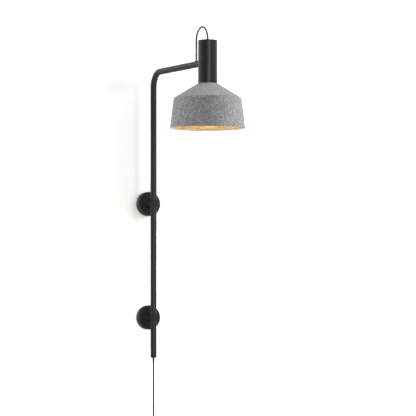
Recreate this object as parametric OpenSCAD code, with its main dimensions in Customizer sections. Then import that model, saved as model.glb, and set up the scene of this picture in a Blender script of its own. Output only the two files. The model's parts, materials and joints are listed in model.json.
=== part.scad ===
// Wall lamp on a long stem: two round wall supports carry a tube that bends forward
// into an arm. A tubular lamp head with a pressed-felt shade stands on the arm's end.
// Origin: centre of the upper support's back face, on the wall. -Y is away from the
// wall, +Z is up. Everything is in millimetres.

/* [Stem and arm] */
// Outside diameter of the stem tube
tube_d = 20; // [18:0.5:21]
// Wall thickness of the stem tube
tube_wall = 1.5; // [1.2:0.1:2]
// Distance from the wall to the stem's axis
standoff = 50; // [48:1:70]
// Height of the arm's axis above the upper support
arm_z = 430; // [300:5:500]
// How far the stem reaches below the upper support
stem_below = 507; // [500:1:600]
// Radius of the bend, at the tube's axis
bend_r = 50; // [40:1:60]
// Horizontal distance from the stem's axis to the lamp head's axis
arm_reach = 407; // [330:1:450]

/* [Wall supports] */
// Vertical distance between the two supports
support_pitch = 375; // [300:1:400]
// Diameter of a rosette
rosette_d = 80; // [78:1:90]
// Distance from the wall to a rosette's front face
rosette_t = 20; // [20:1:22]
// Radius of a rosette's rounded front edge
rosette_edge_r = 5; // [3:0.5:6]
// Diameter of the post that the stem passes through
post_d = 24; // [24:0.5:26]
// How far the post reaches past the stem's axis
post_nose = 14; // [13:0.5:16]
// Distance between the two wall screw holes of one wall plate
screw_pitch = 50; // [40:1:54]
// Diameter of a wall screw hole
screw_hole_d = 5; // [4:0.5:6]

/* [Lamp head] */
// Outside diameter of the head
head_d = 60; // [58:0.5:62]
// Height of the head above the arm's axis
head_above = 69; // [66:1:80]
// Height of the head below the arm's axis
head_below = 66.5; // [62:0.5:70]
// Diameter of the mains cable
cable_d = 5.3; // [5:0.1:5.6]
// Distance between the two upright runs of the cable loop
loop_span = 82; // [75:1:90]
// How far the centre of the loop's half circle stands above the head
loop_rise = 4.5; // [0:0.5:10]

/* [Felt shade] */
// Outside diameter at the shoulder
shoulder_d = 213; // [200:1:230]
// Outside diameter at the rim
rim_d = 236; // [220:1:250]
// Height of the sloping top, from the head to the shoulder
cone_h = 45.5; // [44:0.5:50]
// Height of the side wall, from the shoulder to the rim
side_h = 95.5; // [90:0.5:110]
// Thickness of the felt
felt_t = 3; // [2.5:0.1:4]

/* [Cord] */
// Length of the tapered strain relief under the stem
relief_len = 22; // [20:1:40]
// Distance from the stem's bottom to the cord switch
switch_drop = 209; // [200:1:220]
// Length of the cord switch
switch_len = 64; // [60:1:70]
// Distance from the switch to the folded cord
hank_drop = 34; // [34:1:40]

/* [Hidden] */
$fn = 96;

// Heights and distances that follow from the driving sizes
head_y = -standoff - arm_reach;
head_top = arm_z + head_above;
head_bottom = arm_z - head_below;
boss_y = head_y + loop_span;
loop_r = loop_span / 2;
loop_centre_z = head_top + loop_rise;
stem_bottom = -stem_below;
relief_tip = stem_bottom - relief_len;
switch_top = stem_bottom - switch_drop;
switch_mid = switch_top - switch_len / 2;
switch_bottom = switch_top - switch_len;
hank_top = switch_bottom - hank_drop;

// Clearances and standard parts
slide_gap = 0.05;
cable_r = cable_d / 2;
bush_wall = 0.8;
bush_r = tube_d / 2 + slide_gap + bush_wall;
end_chamfer = 0.6;
groove_depth = 0.7;
groove_w = 6.6;
brake_r = 3;
plate_t = 2.5;
rosette_wall = 2;
rosette_face = 3;
m8_r = 4;
m6_r = 3;
m10_r = 5;
nipple_bore_r = 3.5;
cap_t = 4;
cap_edge_r = 1.5;
house_wall = 2.2;
flange_t = 3;
holder_r = 19.8;
holder_top = head_bottom + 43;
holder_mouth = head_bottom - 13;
bulb_tip = head_bottom + 13.5;
bulb_len = 105;
globe_r = 30;

// The folded cord
hank_h = 106;
hank_fold_r = 17;
hank_half_w = hank_fold_r + cable_r;
hank_half_t = 16.5;
hank_waist_w = 10.5;
hank_waist_t = 10;
hank_mid = hank_top - hank_h / 2;
tie_h = 12;
tie_t = 1.6;

// The plug hangs in front of the folded cord
plug_x = 14;
plug_y = -standoff - 28;
plug_top = hank_top - 32;
plug_neck = 20;
plug_len = 34;
plug_w = 35.3;
plug_t = 13.7;
pin_pitch = 19;
pin_len = 19;
pin_root_r = 1.5;

// Switch case
switch_w = 28;
switch_t = 18;
switch_wall = 1.8;
rocker_r = 9.7;
rocker_w = 11.2;
rocker_tilt = 8;
rocker_y = -standoff - 6;

shoulder_z = head_bottom - cone_h;
// The shade's slopes: cone height per radius, and how far the side leans out per height
cone_rise = cone_h / (shoulder_d / 2 - head_d / 2);
side_lean = (rim_d - shoulder_d) / 2 / side_h;
felt_drop = felt_t / cos(atan(cone_rise));
felt_side = felt_t / cos(atan(side_lean));
// Height where the inner cone meets the inner side wall
cone_corner_z = shoulder_z
    - (felt_drop - cone_rise * felt_side) / (1 + cone_rise * side_lean);
// Inner radius of the side wall at height z
function shade_in_r(z) = shoulder_d / 2 + side_lean * (shoulder_z - z) - felt_side;

// Routes of the free cord's three open stretches, chosen by hand
cord_route = [for (i = [0 : 5]) [0, -standoff, relief_tip + (switch_top - relief_tip) * i / 5]];
lead_route = [
    [0, -50, -780], [0, -50, -786], [0.5, -47.5, -794], [1.5, -42.5, -802],
    [3.5, -37, -810], [6.5, -33, -819]
];
tail_route = [
    [-18, -64, -834], [-16.5, -66.5, -821.5], [-7, -69, -814], [3.5, -71.5, -814],
    [12, -74, -819.5], [16, -76.5, -829], [15, -78, -836], [14, -78, -842],
    [14, -78, -846]
];

// Vectors for the swept cords
function unit(v) = v / norm(v);
function heading(route, i) =
    unit(route[min(i + 1, len(route) - 1)] - route[max(i - 1, 0)]);
function side_of(h) = unit(cross(h, [0.02, 1, 0.01]));

// A cord of round section that follows a route
module swept_cord(route, r, sides = 12) {
    rings = [
        for (i = [0 : len(route) - 1])
            let (h = heading(route, i), u = side_of(h), v = cross(h, u))
                for (k = [0 : sides - 1])
                    route[i] + r * (cos(360 * k / sides) * u + sin(360 * k / sides) * v)
    ];
    last = (len(route) - 1) * sides;
    walls = [
        for (i = [0 : len(route) - 2])
            for (k = [0 : sides - 1])
                let (a = i * sides + k, b = i * sides + (k + 1) % sides)
                    [a, a + sides, b + sides, b]
    ];
    ends = [
        [for (k = [0 : sides - 1]) k],
        [for (k = [sides - 1 : -1 : 0]) last + k]
    ];
    polyhedron(points = rings, faces = concat(walls, ends));
}

// A cylinder along -Y whose back end is at y
module rod_y(r, y, length) {
    translate([0, y, 0]) rotate([90, 0, 0]) cylinder(r = r, h = length);
}

// A rectangle with round corners, centred
module rounded_rect(w, h, r) {
    square([w - 2 * r, h], center = true);
    square([w, h - 2 * r], center = true);
    for (sx = [-1, 1], sy = [-1, 1])
        translate([sx * (w / 2 - r), sy * (h / 2 - r)]) circle(r = r);
}

// Half of a turned profile with a rounded outer corner: radius r, from y0 to y1
module rounded_half(r, y0, y1, edge) {
    square_h = y1 - y0;
    translate([0, y0]) square([r, square_h - edge]);
    translate([0, y0]) square([r - edge, square_h]);
    translate([r - edge, y1 - edge]) circle(r = edge);
}

// Wall support parts, each drawn about its own centre on the wall

module wall_plate() {
    rim_out = rosette_d / 2 - rosette_wall - 0.3;
    rim_in = rim_out - 3;
    color("gainsboro") difference() {
        rod_y(rim_out, 0, 12);
        rod_y(rim_in, -plate_t, 12);
        for (s = [-1, 1])
            translate([s * screw_pitch / 2, 1, 0]) rod_y(screw_hole_d / 2, 0, 12);
        for (s = [-1, 1])
            rotate([0, s * 30, 0]) translate([0, -8, -rim_out - 1]) cylinder(r = 1.55, h = 5);
    }
}

module rosette() {
    inner_r = rosette_d / 2 - rosette_wall;
    color("#2a2b2b") difference() {
        rotate([90, 0, 0]) rotate_extrude() difference() {
            rounded_half(rosette_d / 2, 0.3, rosette_t, rosette_edge_r);
            rounded_half(inner_r, -10, rosette_t - rosette_face, rosette_edge_r - 2);
            translate([-rosette_d, -1]) square([rosette_d, 2 * rosette_t]);
        }
        rod_y(m8_r + 0.1, 0, rosette_t + 1);
        for (s = [-1, 1])
            rotate([0, s * 30, 0]) translate([0, -8, -rosette_d / 2 - 1])
                cylinder(r = 1.55, h = 6);
    }
}

// The two grub screws that lock a rosette onto its wall plate
module rosette_grubs() {
    color("dimgray") for (s = [-1, 1])
        rotate([0, s * 30, 0]) translate([0, -8, -rosette_d / 2 + 0.3]) difference() {
            cylinder(r = 1.5, h = 4.5);
            translate([0, 0, -0.1]) cylinder(r = 0.87, h = 1.6, $fn = 6);
        }
}

module post() {
    nose = standoff + post_nose;
    chamfer = 0.8;
    color("#2a2b2b") difference() {
        union() {
            rod_y(post_d / 2, -rosette_t, nose - rosette_t - chamfer);
            translate([0, -nose + chamfer, 0]) rotate([90, 0, 0])
                cylinder(r1 = post_d / 2, r2 = post_d / 2 - chamfer, h = chamfer);
        }
        translate([0, -standoff, -post_d]) cylinder(r = bush_r + slide_gap, h = 2 * post_d);
        rod_y(m8_r + slide_gap, -rosette_t + 1, 12.2);
        rod_y(brake_r + slide_gap, -rosette_t - 10, 12);
    }
}

module post_bolt() {
    head_y0 = -rosette_t + rosette_face + 1.6;
    color("silver") difference() {
        union() {
            rod_y(6.5, head_y0 + 6, 6);
            rod_y(m8_r, head_y0, 15.5);
        }
        translate([0, head_y0 + 6.1, 0]) rotate([90, 0, 0]) cylinder(r = 3.46, h = 4.1, $fn = 6);
    }
}

module post_washer() {
    color("silver") difference() {
        rod_y(8.5, -rosette_t + rosette_face + 1.6, 1.6);
        rod_y(m8_r + 0.1, 0, rosette_t);
    }
}

// Three dished washers that press the brake plug against the stem
module brake_spring() {
    cone_t = 0.3;
    dish = 0.7;
    color("silver") for (i = [0 : 2])
        translate([0, -30.95 - i * (dish + cone_t + slide_gap), 0])
            rotate([90, 0, 0]) mirror([0, 0, i % 2])
                translate([0, 0, i % 2 == 0 ? 0 : -dish - cone_t])
                    rotate_extrude() polygon([
                        [1.6, 0], [1.6, cone_t], [2.9, dish + cone_t], [2.9, dish]
                    ]);
}

// Nylon plug whose nose runs in the stem's groove: it brakes the swing and carries the weight
module brake_plug() {
    back = -34.2;
    nose = -standoff + tube_d / 2 - groove_depth + slide_gap;
    color("ivory") difference() {
        rod_y(brake_r, back, back - nose);
        translate([0, -standoff, -post_d])
            cylinder(r = tube_d / 2 - groove_depth + slide_gap, h = 2 * post_d);
    }
}

module bush() {
    color("#1c1d1d") intersection() {
        difference() {
            translate([0, -standoff, -post_d / 2]) cylinder(r = bush_r, h = post_d);
            translate([0, -standoff, -post_d]) cylinder(r = tube_d / 2 + slide_gap, h = 2 * post_d);
            rod_y(brake_r + slide_gap, -rosette_t, 22);
        }
        rod_y(post_d / 2 - 0.2, -rosette_t, 60);
    }
}

module lower_support() {
    translate([0, 0, -support_pitch]) children();
}

// Stem, bend and arm along one centreline, as a solid of radius r
module stem_sweep(r) {
    translate([0, -standoff, stem_bottom]) cylinder(r = r, h = arm_z - bend_r - stem_bottom);
    translate([0, -standoff - bend_r, arm_z - bend_r]) rotate([90, 0, 90])
        rotate_extrude(angle = 90) translate([bend_r, 0]) circle(r = r);
    translate([0, 0, arm_z]) rod_y(r, -standoff - bend_r, arm_reach - bend_r);
}

module head_core(r, z0, z1) {
    translate([0, head_y, z0]) cylinder(r = r, h = z1 - z0);
}

module stem_tube() {
    color("#2a2b2b") difference() {
        stem_sweep(tube_d / 2);
        stem_sweep(tube_d / 2 - tube_wall);
        translate([0, -standoff, stem_bottom - 1]) cylinder(r = tube_d / 2 - tube_wall, h = 2);
        translate([0, -standoff, stem_bottom]) difference() {
            cylinder(r = tube_d, h = end_chamfer);
            cylinder(r1 = tube_d / 2 - end_chamfer, r2 = tube_d / 2, h = end_chamfer);
        }
        head_core(head_d / 2, arm_z - tube_d, arm_z + tube_d);
        translate([0, boss_y, arm_z]) cylinder(r = 4, h = tube_d);
        for (z = [0, -support_pitch])
            translate([0, -standoff, z - groove_w / 2]) difference() {
                cylinder(r = tube_d, h = groove_w);
                translate([0, 0, -1]) cylinder(r = tube_d / 2 - groove_depth, h = groove_w + 2);
            }
    }
}

module stem_end_plug() {
    color("#1c1c1c") translate([0, -standoff, stem_bottom]) difference() {
        cylinder(r = tube_d / 2 - tube_wall - slide_gap, h = 14);
        translate([0, 0, -1]) cylinder(r = 4.05, h = 16);
    }
}

module strain_relief() {
    bore = cable_r + slide_gap;
    color("#1c1c1c") translate([0, -standoff, 0]) difference() {
        union() {
            translate([0, 0, stem_bottom]) cylinder(r = 4, h = 14);
            translate([0, 0, relief_tip]) cylinder(r1 = cable_r + 0.35, r2 = 3.5, h = relief_len);
        }
        translate([0, 0, relief_tip - 1]) cylinder(r = bore, h = relief_len + 16);
    }
}

// Crimped ring above the end plug, so that a pull on the cord stops there
module cord_stop() {
    color("silver") translate([0, -standoff, stem_bottom + 14]) difference() {
        cylinder(r = 5.5, h = 7);
        translate([0, 0, -1]) cylinder(r = cable_r + slide_gap, h = 9);
    }
}

// The cable inside the stem and the arm, up to the arm's top
module stem_cable() {
    run_z = arm_z - 4;
    up_r = 8;
    bend_z = arm_z - bend_r;
    inner_bend = bend_r - 4;
    color("#161616") {
        translate([0, -standoff, relief_tip]) cylinder(r = cable_r, h = bend_z - relief_tip);
        translate([0, -standoff - inner_bend, bend_z]) rotate([90, 0, 90])
            rotate_extrude(angle = 90) translate([inner_bend, 0]) circle(r = cable_r);
        translate([0, 0, run_z])
            rod_y(cable_r, -standoff - inner_bend, -standoff - inner_bend - boss_y - up_r);
        translate([0, boss_y + up_r, run_z + up_r]) rotate([0, 90, 0])
            rotate_extrude(angle = -90) translate([up_r, 0]) circle(r = cable_r);
    }
}

// Threaded steel plug pressed into the arm's end
module arm_insert() {
    color("silver") difference() {
        translate([0, 0, arm_z]) rod_y(tube_d / 2 - tube_wall, head_y + head_d / 2 + 22, 26);
        head_core(head_d / 2, arm_z - tube_d, arm_z + tube_d);
        translate([0, 0, arm_z]) rod_y(m6_r + slide_gap, head_y + head_d / 2 + 23, 30);
    }
}

module arm_washer() {
    wall_in = head_d / 2 - house_wall;
    color("silver") difference() {
        intersection() {
            translate([0, 0, arm_z]) rod_y(8, head_y + wall_in + 2, 6);
            head_core(wall_in, arm_z - 20, arm_z + 20);
        }
        translate([0, 0, arm_z]) rod_y(m6_r + 0.1, head_y + wall_in + 2, 8);
    }
}

module arm_bolt() {
    seat = head_y + head_d / 2 - house_wall - 4;
    color("silver") translate([0, 0, arm_z]) difference() {
        union() {
            rod_y(5, seat, 6);
            rod_y(m6_r, seat + 20, 20);
        }
        translate([0, seat - 6.1 + 3.6, 0]) rotate([90, 0, 0]) cylinder(r = 2.9, h = 4, $fn = 6);
    }
}

// Collar on the arm's top where the cable comes out
module arm_grommet() {
    color("#1c1c1c") difference() {
        translate([0, boss_y, arm_z]) {
            cylinder(r = 5, h = tube_d / 2 + 1.2);
            translate([0, 0, tube_d / 2 + 1.2]) cylinder(r1 = 5, r2 = 4, h = 1.2);
        }
        difference() {
            translate([0, 0, arm_z]) rod_y(tube_d / 2 + 0.02, boss_y + 20, 40);
            translate([0, boss_y, arm_z]) cylinder(r = 3.9, h = tube_d);
        }
        translate([0, 0, arm_z]) rod_y(tube_d / 2 - tube_wall, boss_y + 20, 40);
        translate([0, boss_y, arm_z - 10]) cylinder(r = cable_r + slide_gap, h = 40);
    }
}

// The cable that stands up from the arm, arches over and goes down into the head
module loop_cable() {
    start_z = arm_z + 4;
    end_z = holder_top - 6;
    color("#161616") {
        translate([0, boss_y, start_z]) cylinder(r = cable_r, h = loop_centre_z - start_z);
        translate([0, boss_y - loop_r, loop_centre_z]) rotate([90, 0, 90])
            rotate_extrude(angle = 180) translate([loop_r, 0]) circle(r = cable_r);
        translate([0, head_y, end_z]) cylinder(r = cable_r, h = loop_centre_z - end_z);
    }
}

// Head housing: a tube with an inner flange at the bottom
module head_housing() {
    r = head_d / 2;
    color("#2a2b2b") difference() {
        head_core(r, head_bottom, head_top - cap_t);
        head_core(r - house_wall, head_bottom + flange_t, head_top);
        head_core(holder_r + 0.2, head_bottom - 1, head_bottom + flange_t + 1);
        translate([0, 0, arm_z]) rod_y(m6_r + 0.2, head_y + r + 5, 20);
    }
}

module head_cap() {
    r = head_d / 2;
    color("#2a2b2b") difference() {
        union() {
            translate([0, head_y, head_top - cap_t]) rotate_extrude() intersection() {
                rounded_half(r, 0, cap_t, cap_edge_r);
                square([head_d, cap_t]);
            }
            head_core(r - house_wall - slide_gap, head_top - cap_t - 5, head_top - cap_t);
        }
        head_core(r - house_wall - 3, head_top - cap_t - 6, head_top - cap_t);
        head_core(m10_r + 0.1, head_top - cap_t - 6, head_top + 1);
    }
}

// Cable gland on the cap's middle
module cord_grip() {
    grip_r = 4.8;
    color("#1c1c1c") difference() {
        union() {
            head_core(grip_r, head_top, head_top + 1.5);
            translate([0, head_y, head_top + 1.5]) cylinder(r1 = grip_r, r2 = 3.6, h = 2);
        }
        head_core(cable_r + slide_gap, head_top - 1, head_top + 6);
    }
}

// Hollow threaded rod that hangs the lampholder from the cap
module nipple() {
    color("silver") difference() {
        head_core(m10_r, holder_top - 3, head_top);
        head_core(nipple_bore_r, holder_top - 4, head_top + 1);
    }
}

module nipple_nut() {
    color("silver") difference() {
        translate([0, head_y, head_top - cap_t - 5]) cylinder(r = 8.1, h = 5, $fn = 6);
        head_core(m10_r + slide_gap, head_top - cap_t - 6, head_top);
    }
}

module holder_cap() {
    join = holder_top - 16;
    color("#202020") difference() {
        union() {
            head_core(holder_r, join, holder_top - 6);
            translate([0, head_y, holder_top - 6]) cylinder(r1 = holder_r, r2 = 10, h = 6);
        }
        head_core(holder_r - 2.2, join - 1, holder_top - 8);
        head_core(m10_r + slide_gap, holder_top - 9, holder_top + 1);
    }
}

module holder_skirt() {
    join = holder_top - 16;
    color("#202020") difference() {
        head_core(holder_r, holder_mouth, join);
        head_core(holder_r - 3, holder_mouth - 1, join + 1);
    }
}

module holder_core() {
    top = holder_top - 18;
    color("white") difference() {
        head_core(holder_r - 3.1, bulb_tip - 1, top);
        head_core(14.3, bulb_tip - 2, bulb_tip + 3);
    }
}

module thread_shell() {
    color("goldenrod") difference() {
        head_core(14.2, holder_mouth + 3, bulb_tip + 3);
        head_core(13.5, holder_mouth + 2, bulb_tip + 4);
    }
}

module centre_contact() {
    color("goldenrod") translate([-3, head_y - 9, bulb_tip]) {
        cube([6, 18, 0.7]);
        translate([0, 14, 0]) cube([6, 4, 3]);
    }
}

// Ring on the holder's thread that clamps the felt against the housing
module shade_ring() {
    top = head_bottom - felt_t - 1;
    color("#202020") difference() {
        head_core(27.5, top - 6, top);
        head_core(holder_r + slide_gap, top - 7, top + 1);
        for (i = [0 : 11])
            translate([0, head_y, 0]) rotate([0, 0, 30 * i]) translate([28.6, 0, top - 7])
                cylinder(r = 2, h = 8);
    }
}

module clamp_washer() {
    top = head_bottom - felt_t;
    color("silver") difference() {
        head_core(28.5, top - 1, top);
        head_core(holder_r + 0.2, top - 2, top + 1);
    }
}

// Felt shade, drawn as a top and a side wall that meet in the sharp shoulder
module turned_felt(profile) {
    color("#9a9b9a") translate([0, head_y, 0]) rotate_extrude() polygon(profile);
}

// The sloping top, flat where the housing clamps it
module shade_top() {
    r0 = head_d / 2;
    r1 = shoulder_d / 2;
    neck_in = r0 - felt_t * tan(atan2(cone_h, r1 - r0) / 2);
    turned_felt([
        [holder_r + 0.2, head_bottom], [r0, head_bottom], [r1, shoulder_z],
        [shade_in_r(cone_corner_z), cone_corner_z],
        [neck_in, head_bottom - felt_t], [holder_r + 0.2, head_bottom - felt_t]
    ]);
}

// The side wall, which leans out slightly down to the rim
module shade_side() {
    rim = shoulder_z - side_h;
    turned_felt([
        [shoulder_d / 2, shoulder_z], [rim_d / 2, rim],
        [shade_in_r(rim), rim], [shade_in_r(cone_corner_z), cone_corner_z]
    ]);
}

module bulb_cap() {
    color("silver") difference() {
        union() {
            head_core(13.1, bulb_tip - 25, bulb_tip - 3);
            translate([0, head_y, bulb_tip - 3]) cylinder(r1 = 13.1, r2 = 5, h = 3);
        }
        head_core(12.6, bulb_tip - 26, bulb_tip - 4);
    }
}

module bulb_collar() {
    top = bulb_tip - 25;
    color("white") translate([0, head_y, top - 30]) difference() {
        union() {
            cylinder(r1 = 24, r2 = 14.5, h = 30);
            translate([0, 0, 30]) cylinder(r = 12.5, h = 8);
        }
        translate([0, 0, -1]) cylinder(r1 = 22.5, r2 = 12.5, h = 29);
    }
}

module bulb_globe() {
    centre = bulb_tip - bulb_len + globe_r;
    cut = bulb_tip - 55;
    color("#fff2d8") difference() {
        translate([0, head_y, centre]) sphere(r = globe_r);
        translate([0, head_y, centre]) sphere(r = globe_r - 1.2);
        head_core(globe_r + 5, cut, cut + 40);
    }
}

module supply_cord() {
    color("#161616") swept_cord(cord_route, cable_r);
}

module switch_outline(inset = 0) {
    rounded_rect(switch_w - 2 * inset, switch_len - 2 * inset, 8 - inset);
}

// Places a shape drawn in the X-Z plane, with its height along -Y from y
module switch_at(y) {
    translate([0, y, switch_mid]) rotate([90, 0, 0]) children();
}

module switch_back() {
    back = -standoff + switch_t / 2;
    depth = 8;
    color("#1c1c1c") difference() {
        switch_at(back) linear_extrude(depth) switch_outline();
        switch_at(back - switch_wall) linear_extrude(depth) switch_outline(switch_wall);
        translate([0, -standoff, switch_bottom - 1]) cylinder(r = cable_r, h = switch_len + 2);
        for (s = [-1, 1])
            translate([0, 0, switch_mid + s * 22]) rod_y(1.6, back + 1, 5);
    }
}

module switch_front() {
    y0 = -standoff + switch_t / 2 - 8;
    depth = switch_t - 8;
    color("#1c1c1c") {
        difference() {
            switch_at(y0) linear_extrude(depth) switch_outline();
            switch_at(y0 + 1) linear_extrude(depth - switch_wall + 1) switch_outline(switch_wall);
            switch_at(y0) linear_extrude(depth + 1)
                square([rocker_w + 0.6, 2 * rocker_r + 0.8], center = true);
            translate([0, -standoff, switch_bottom - 1]) cylinder(r = cable_r, h = switch_len + 2);
        }
        for (s = [-1, 1]) difference() {
            translate([s * (rocker_w / 2 + 1.6) - 1.3, rocker_y - 2.2, switch_mid - 3])
                cube([2.6, 4.7, 6]);
            translate([s * 10, rocker_y, switch_mid]) rotate([0, 90, 0])
                cylinder(r = 1.01, h = 12, center = true);
        }
    }
}

module switch_screws() {
    back = -standoff + switch_t / 2;
    color("silver") for (s = [-1, 1])
        translate([0, 0, switch_mid + s * 22]) difference() {
            union() {
                rod_y(1.5, back, 9);
                rod_y(2.6, back + 1.2, 1.2);
            }
            translate([-2, back + 0.7, -0.3]) cube([4, 2, 0.6]);
        }
}

// Two brass strips under the rocker
module switch_contacts() {
    color("goldenrod") for (s = [-1, 1])
        translate([s * 5 - 1.5, -standoff + 6.4, switch_mid - 13]) {
            cube([3, 0.8, 26]);
            translate([0, -4, s > 0 ? 0 : 21]) cube([3, 4, 5]);
        }
}

module rocker_pin() {
    color("silver") translate([0, rocker_y, switch_mid]) rotate([0, 90, 0])
        cylinder(r = 1, h = rocker_w + 5.6, center = true);
}

// The rocker, pressed down at its upper end
module rocker() {
    face = 6.3;
    color("#1c1c1c") translate([0, rocker_y, switch_mid]) rotate([rocker_tilt, 0, 0])
        difference() {
            intersection() {
                rotate([0, 90, 0]) cylinder(r = rocker_r, h = rocker_w, center = true);
                translate([-rocker_w / 2, 0, 0]) rotate([90, 0, 90]) linear_extrude(rocker_w)
                    polygon([
                        [2.2, -4], [2.2, 4], [-1, 10], [-face - 1.4, 10], [-face, 0],
                        [-face - 1.4, -10], [-1, -10]
                    ]);
            }
            rotate([0, 90, 0]) cylinder(r = 1.05, h = rocker_w + 2, center = true);
        }
}

module cord_lead() {
    color("#161616") swept_cord(lead_route, cable_r);
}

// The folded length of cord: round at both ends and drawn in at the tie
module cord_hank() {
    fold = hank_h / 2 - hank_half_w;
    color("#161616") translate([0, -standoff, hank_mid]) intersection() {
        rotate([90, 0, 0]) linear_extrude(3 * hank_half_t, center = true) {
            for (s = [-1, 1]) translate([0, s * fold]) circle(r = hank_half_w);
            polygon([
                [-hank_waist_w, -6], [-17.9, -27], [17.9, -27], [hank_waist_w, -6],
                [hank_waist_w, 6], [17.9, 27], [-17.9, 27], [-hank_waist_w, 6]
            ]);
        }
        rotate([90, 0, 90]) linear_extrude(3 * hank_half_w, center = true) polygon([
            [-hank_waist_t, -6], [-hank_half_t, -27], [-hank_half_t, -hank_h],
            [hank_half_t, -hank_h], [hank_half_t, -27], [hank_waist_t, -6],
            [hank_waist_t, 6], [hank_half_t, 27], [hank_half_t, hank_h],
            [-hank_half_t, hank_h], [-hank_half_t, 27], [-hank_waist_t, 6]
        ]);
    }
}

module hank_tie() {
    w = 2 * hank_waist_w;
    t = 2 * hank_waist_t;
    color("#303030") translate([0, -standoff, hank_mid - tie_h / 2]) linear_extrude(tie_h)
        difference() {
            rounded_rect(w + 2 * tie_t, t + 2 * tie_t, 3);
            square([w + 0.1, t + 0.1], center = true);
        }
}

module plug_tail() {
    color("#161616") swept_cord(tail_route, cable_r);
}

// Flat two-pin plug with its moulded, tapered neck
module plug_body() {
    body_top = plug_top - plug_neck;
    color("#1c1c1c") translate([plug_x, plug_y, 0]) difference() {
        union() {
            translate([0, plug_t / 2, body_top]) rotate([90, 0, 0]) linear_extrude(plug_t)
                polygon([
                    [-6.5, 0], [6.5, 0], [plug_w / 2, -13], [plug_w / 2, -24],
                    [13, -plug_len], [-13, -plug_len], [-plug_w / 2, -24], [-plug_w / 2, -13]
                ]);
            translate([0, 0, body_top]) cylinder(r1 = 5.6, r2 = 3.5, h = plug_neck);
        }
        for (s = [-1, 1])
            translate([s * pin_pitch / 2, 0, body_top - plug_len - 1])
                cylinder(r = pin_root_r + slide_gap, h = 10);
    }
}

module plug_pins() {
    face = plug_top - plug_neck - plug_len;
    color("silver") for (s = [-1, 1])
        translate([plug_x + s * pin_pitch / 2, plug_y, face - pin_len]) {
            cylinder(r1 = 1.2, r2 = 2, h = 1);
            translate([0, 0, 1]) cylinder(r = 2, h = pin_len - 1);
            translate([0, 0, pin_len]) cylinder(r = pin_root_r, h = 8);
        }
}

wall_plate();  // wall_plate_upper
rosette();  // rosette_upper
rosette_grubs();  // rosette_grubs_upper
post();  // post_upper
post_bolt();  // post_bolt_upper
post_washer();  // post_washer_upper
brake_spring();  // brake_spring_upper
brake_plug();  // brake_plug_upper
bush();  // bush_upper
lower_support() wall_plate();  // wall_plate_lower
lower_support() rosette();  // rosette_lower
lower_support() rosette_grubs();  // rosette_grubs_lower
lower_support() post();  // post_lower
lower_support() post_bolt();  // post_bolt_lower
lower_support() post_washer();  // post_washer_lower
lower_support() brake_spring();  // brake_spring_lower
lower_support() brake_plug();  // brake_plug_lower
lower_support() bush();  // bush_lower
stem_tube();
stem_end_plug();
strain_relief();
cord_stop();
stem_cable();
arm_insert();
arm_bolt();
arm_washer();
arm_grommet();
loop_cable();
head_housing();
head_cap();
cord_grip();
nipple();
nipple_nut();
holder_cap();
holder_skirt();
holder_core();
thread_shell();
centre_contact();
shade_ring();
clamp_washer();
shade_top();
shade_side();
bulb_cap();
bulb_collar();
bulb_globe();
supply_cord();
switch_back();
switch_front();
switch_screws();
switch_contacts();
rocker_pin();
rocker();
cord_lead();
cord_hank();
hank_tie();
plug_tail();
plug_body();
plug_pins();
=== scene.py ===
"""Wall lamp with a felt shade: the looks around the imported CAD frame. Metres, +Z up."""

import json
import math

import bpy
import numpy as np
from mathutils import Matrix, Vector, noise

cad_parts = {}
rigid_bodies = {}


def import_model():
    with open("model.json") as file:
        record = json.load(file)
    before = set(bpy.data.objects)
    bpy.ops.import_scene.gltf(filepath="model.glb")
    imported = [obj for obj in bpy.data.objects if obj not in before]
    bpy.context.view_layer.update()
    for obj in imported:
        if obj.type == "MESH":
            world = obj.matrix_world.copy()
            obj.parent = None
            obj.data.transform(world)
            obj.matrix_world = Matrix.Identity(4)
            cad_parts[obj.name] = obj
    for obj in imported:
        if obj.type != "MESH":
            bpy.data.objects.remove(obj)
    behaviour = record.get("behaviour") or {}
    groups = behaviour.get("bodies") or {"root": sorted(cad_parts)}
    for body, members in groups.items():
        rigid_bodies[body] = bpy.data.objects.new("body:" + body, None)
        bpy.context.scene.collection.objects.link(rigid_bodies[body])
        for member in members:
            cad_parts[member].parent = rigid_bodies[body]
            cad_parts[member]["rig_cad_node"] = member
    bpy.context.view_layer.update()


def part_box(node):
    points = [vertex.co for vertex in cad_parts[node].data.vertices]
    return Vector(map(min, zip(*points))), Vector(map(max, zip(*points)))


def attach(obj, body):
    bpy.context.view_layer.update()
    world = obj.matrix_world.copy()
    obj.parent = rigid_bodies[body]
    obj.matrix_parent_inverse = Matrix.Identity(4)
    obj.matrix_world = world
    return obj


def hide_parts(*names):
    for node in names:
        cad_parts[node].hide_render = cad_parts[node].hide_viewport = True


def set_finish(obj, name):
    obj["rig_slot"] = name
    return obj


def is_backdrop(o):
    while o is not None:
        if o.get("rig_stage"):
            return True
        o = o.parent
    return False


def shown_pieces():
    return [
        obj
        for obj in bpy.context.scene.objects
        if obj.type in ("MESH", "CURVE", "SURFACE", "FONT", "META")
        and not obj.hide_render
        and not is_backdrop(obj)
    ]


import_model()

scene = bpy.context.scene
MM = 0.001
ARM_BODY = "swing_arm"


def axis_of(node):
    """The middle of a node's box, seen from above."""
    lo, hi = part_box(node)
    return (lo.x + hi.x) / 2, (lo.y + hi.y) / 2


STEM_X, STEM_Y = axis_of("strain_relief")
HEAD_X, HEAD_Y = axis_of("head_housing")

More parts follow.
